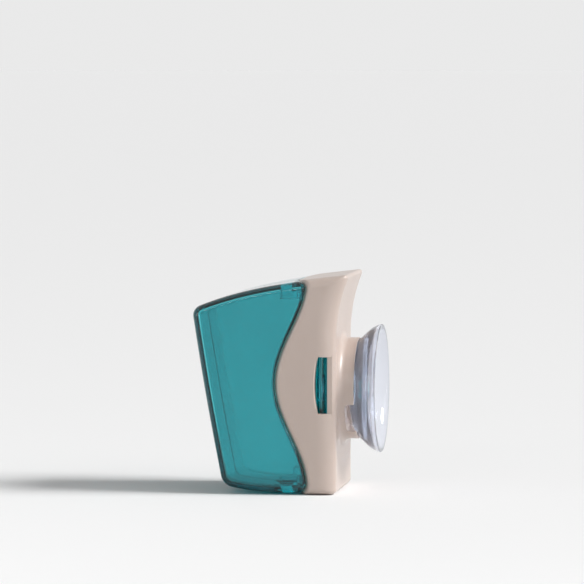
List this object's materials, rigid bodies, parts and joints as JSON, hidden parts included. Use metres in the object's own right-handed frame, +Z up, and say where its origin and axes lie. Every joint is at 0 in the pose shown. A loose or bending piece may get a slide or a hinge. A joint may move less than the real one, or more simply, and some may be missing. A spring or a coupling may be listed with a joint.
{
  "type": "toothbrush cover",
  "caption": "Wall-mounted toothbrush cover: two clear doors swing out from a moulded body held by a suction cup, with a way out below for the neck.",
  "frame": {"origin": "centre of the suction cup's rim, on the wall", "axes": "+Y into the wall, +Z up, +X to the right as seen from the front"},
  "size_m": [0.031, 0.0428, 0.0512],
  "materials": {
    "body_plastic": "satin moulded",
    "door_plastic": "clear tinted, polished",
    "cup_plastic": "clear soft plastic",
    "pin_steel": "drawn wire"
  },
  "bodies": {
    "housing": {"body": "body_plastic", "suction_cup": "cup_plastic", "upper_right_pin": "pin_steel", "lower_right_pin": "pin_steel", "upper_left_pin": "pin_steel", "lower_left_pin": "pin_steel"},
    "right_leaf": {"right_door": "door_plastic"},
    "left_leaf": {"left_door": "door_plastic"}
  },
  "joints": [
    {"name": "right_hinge", "type": "hinge", "parent": "housing", "child": "right_leaf", "pos_m": [0.0118, -0.0128, 0], "axis": [0, 0, 1], "range_deg": [0, 40]},
    {"name": "left_hinge", "type": "hinge", "parent": "housing", "child": "left_leaf", "pos_m": [-0.0118, -0.0128, 0], "axis": [0, 0, -1], "range_deg": [0, 40]}
  ]
}
